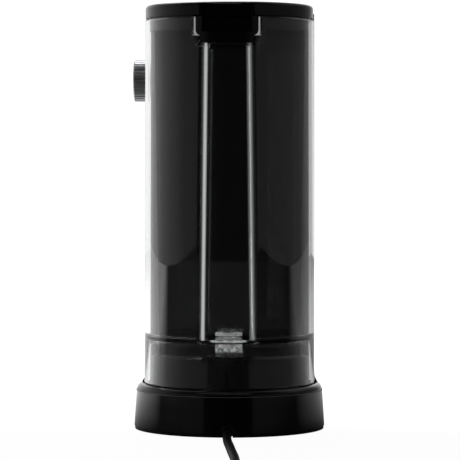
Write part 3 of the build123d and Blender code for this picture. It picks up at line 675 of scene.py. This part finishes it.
def makeBaseBead(size):
    rear = arcPoints((0, size["centre"]), size["half"], 0, math.pi, size["rearPoints"])
    right = np.array([(size["waist"], size["end"]), (size["waist"], size["waistY"])])
    route = np.vstack([right, rear, right[::-1] * (-1, 1)])
    ahead = np.gradient(route, axis=0)
    out = np.stack([ahead[:, 1], -ahead[:, 0]], 1) / np.linalg.norm(ahead, axis=1)[:, None]
    sides = size["sides"]
    turn = np.linspace(0, tau, sides + 1)[:-1]
    reach = size["radius"] * np.cos(turn)
    flat = route[:, None, :] + out[:, None, :] * reach[None, :, None]
    tall = np.broadcast_to(size["level"] + size["radius"] * np.sin(turn), flat.shape[:2])
    points = np.concatenate([flat, tall[..., None]], 2).reshape(-1, 3)
    faces = gridFaces(len(route), sides).tolist()
    faces += [list(range(sides)), list(range(len(points) - sides, len(points)))]
    return newMesh("baseHighlightBead", points, faces)


# ABS edge with a painted highlight: grey, and lighter than the gloss around it, for the light the fine edge
# catches
def paintedHighlightEdge():
    material, tree, shader = newMaterial("absEdgePaintedHighlight", {"IOR": 1.53})
    vector = coordinates(tree)
    highlightTone = noise(tree, vector, 60, 3)
    tree.links.new(twoColours(tree, highlightTone, "6a6a6c", "a0a0a2"), shader.inputs["Base Color"])
    tree.links.new(spread(tree, highlightTone, 0.3, 0.5), shader.inputs["Roughness"])
    return material


beadPiece = paint(makeBaseBead(baseHighlightBead), paintedHighlightEdge())
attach(beadPiece, "machine")

# the cord guide, in millimetres: two small lugs that fill the notch beside the strain relief
cordGuide = {"x": ((-6.15, -4.5), (2.5, 4.15)), "y": (129.5, 134.9), "z": (0.5, 2.4)}


def makeCordGuide(size):
    corners = ((0, 1, 3, 2), (4, 6, 7, 5), (0, 4, 5, 1), (2, 3, 7, 6), (0, 2, 6, 4), (1, 5, 7, 3))
    points, faces = [], []
    for x in size["x"]:
        start = len(points)
        points += [(a, b, c) for a in x for b in size["y"] for c in size["z"]]
        faces += [[start + corner for corner in face] for face in corners]
    return newMesh("cordGuide", points, faces)


guidePiece = paint(makeCordGuide(cordGuide), slotMaterials["satin_black"])
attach(guidePiece, "machine")
say("base trim")

# the floor: white to the camera, and in reflections dark behind the machine and brighter in front of it
studioFloor = {
    "half": 3.0,
    "along": (-0.25, 0.1),  # where the glow falls off, towards the camera
    "glow": (0.7, 0.03),
    "shade": (0.1, 1.0),  # of that glow, on the machine's left and right
    "shown": 0.97,
}


def makeFloor(size):
    mesh = bpy.data.meshes.new("studioFloor")
    half = size["half"]
    corners = [(x * half, y * half, 0) for x, y in ((-1, -1), (1, -1), (1, 1), (-1, 1))]
    mesh.from_pydata(corners, [], [(0, 1, 2, 3)])
    floor = bpy.data.objects.new("studioFloor", mesh)
    bpy.context.scene.collection.objects.link(floor)
    surface = {"Roughness": 0.9, "Specular IOR Level": 0.0, "Emission Color": hexColour("ffffff")}
    material, tree, shader = newMaterial("studioPaper", surface)
    place = addNode(tree, "ShaderNodeTexCoord").outputs["Object"]
    parts = addNode(tree, "ShaderNodeSeparateXYZ", inputs={"Vector": place}).outputs
    ahead = remap(tree, parts["Y"], size["along"], size["glow"])
    glow = mathNode(tree, "MULTIPLY", ahead, remap(tree, parts["X"], (-0.1, 0.1), size["shade"]))
    seen = addNode(tree, "ShaderNodeLightPath").outputs["Is Camera Ray"]
    tree.links.new(blend(tree, seen, glow, size["shown"]), shader.inputs["Emission Strength"])
    colour = twoColours(tree, spread(tree, ahead, 0.0, 1.3), "1c1c1c", "ececec")
    tree.links.new(colour, shader.inputs["Base Color"])
    paint(floor, material)


makeFloor(studioFloor)


# a soft box: an area light that lights and shows in gloss, but not to the camera
def softBox(name, place, target, width, tall, power):
    light = bpy.data.lights.new(name, "AREA")
    light.shape = "RECTANGLE"
    light.size, light.size_y = width, tall
    light.energy = power
    box = bpy.data.objects.new(name, light)
    box.location = place
    aim = Vector(target) - Vector(place)
    box.rotation_euler = aim.to_track_quat("-Z", "Y").to_euler()
    box.visible_camera = False
    bpy.context.scene.collection.objects.link(box)


# the room: white to the camera; in gloss, dark behind the camera and brighter round to the backdrop
room = {  # degrees from behind the camera, and how bright it is there, on the machine's right and left
    "right": (
        (0, 0.012), (28, 0.012), (31, 0.1), (63, 0.14), (99, 0.36), (120, 0.6), (145, 0.95), (165, 1.05),
    ),
    "left": (
        (0, 0.012), (28, 0.012), (31, 0.09), (63, 0.1), (99, 0.11), (120, 0.12), (145, 0.2), (168, 0.9),
    ),
    "overhead": (0.3, 0.03),  # over the backdrop and over the camera
    "shown": 1.1,
}


def roomRamp(tree, share, steps):
    ramp = addNode(tree, "ShaderNodeValToRGB", inputs={"Fac": share})
    stops = ramp.color_ramp.elements
    while len(stops) < len(steps):
        stops.new(1.0)
    for stop, (degrees, light) in zip(stops, steps):
        stop.position = degrees / 180
        stop.color = (light, light, light, 1)
    return ramp.outputs["Color"]


def makeRoom(light):
    world = bpy.data.worlds.new("studioRoom")
    world.use_nodes = True
    tree = world.node_tree
    tree.nodes.clear()
    direction = addNode(tree, "ShaderNodeTexCoord").outputs["Generated"]
    parts = addNode(tree, "ShaderNodeSeparateXYZ", inputs={"Vector": direction}).outputs
    angle = mathNode(tree, "ARCTAN2", mathNode(tree, "ABSOLUTE", parts["X"]), parts["Y"])
    share = mathNode(tree, "DIVIDE", angle, math.pi)
    hand = remap(tree, parts["X"], (-0.1, 0.1), (0.0, 1.0))
    around = blend(tree, hand, roomRamp(tree, share, light["left"]), roomRamp(tree, share, light["right"]))
    rise = {"Value": parts["Z"], "From Min": 0.3, "From Max": 0.6}
    high = addNode(tree, "ShaderNodeMapRange", {"interpolation_type": "SMOOTHSTEP"}, rise).outputs["Result"]
    gloss = blend(tree, high, around, remap(tree, parts["Y"], (-0.2, 0.2), light["overhead"]))
    seen = addNode(tree, "ShaderNodeLightPath").outputs["Is Camera Ray"]
    shown = blend(tree, seen, gloss, light["shown"])
    back = addNode(tree, "ShaderNodeBackground", inputs={"Color": (1, 1, 1, 1), "Strength": shown}).outputs[0]
    output = addNode(tree, "ShaderNodeOutputWorld")
    tree.links.new(back, output.inputs["Surface"])
    bpy.context.scene.world = world


makeRoom(room)
softBox("softBoxOverhead", (0.3, -0.9, 2.2), (0, 0, 0.16), 1.2, 1.2, 10)
softBox("stripOverRear", (0.1, 1.3, 1.5), (0, 0.1, 0.03), 2.0, 0.03, 1.2)
softBox("softBoxFront", (0.5, -1.6, 2.0), (0, 0, 0.16), 1.2, 0.9, 14)
bpy.context.scene.view_settings.view_transform = "Standard"
say("studio")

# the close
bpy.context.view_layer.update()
say("done")
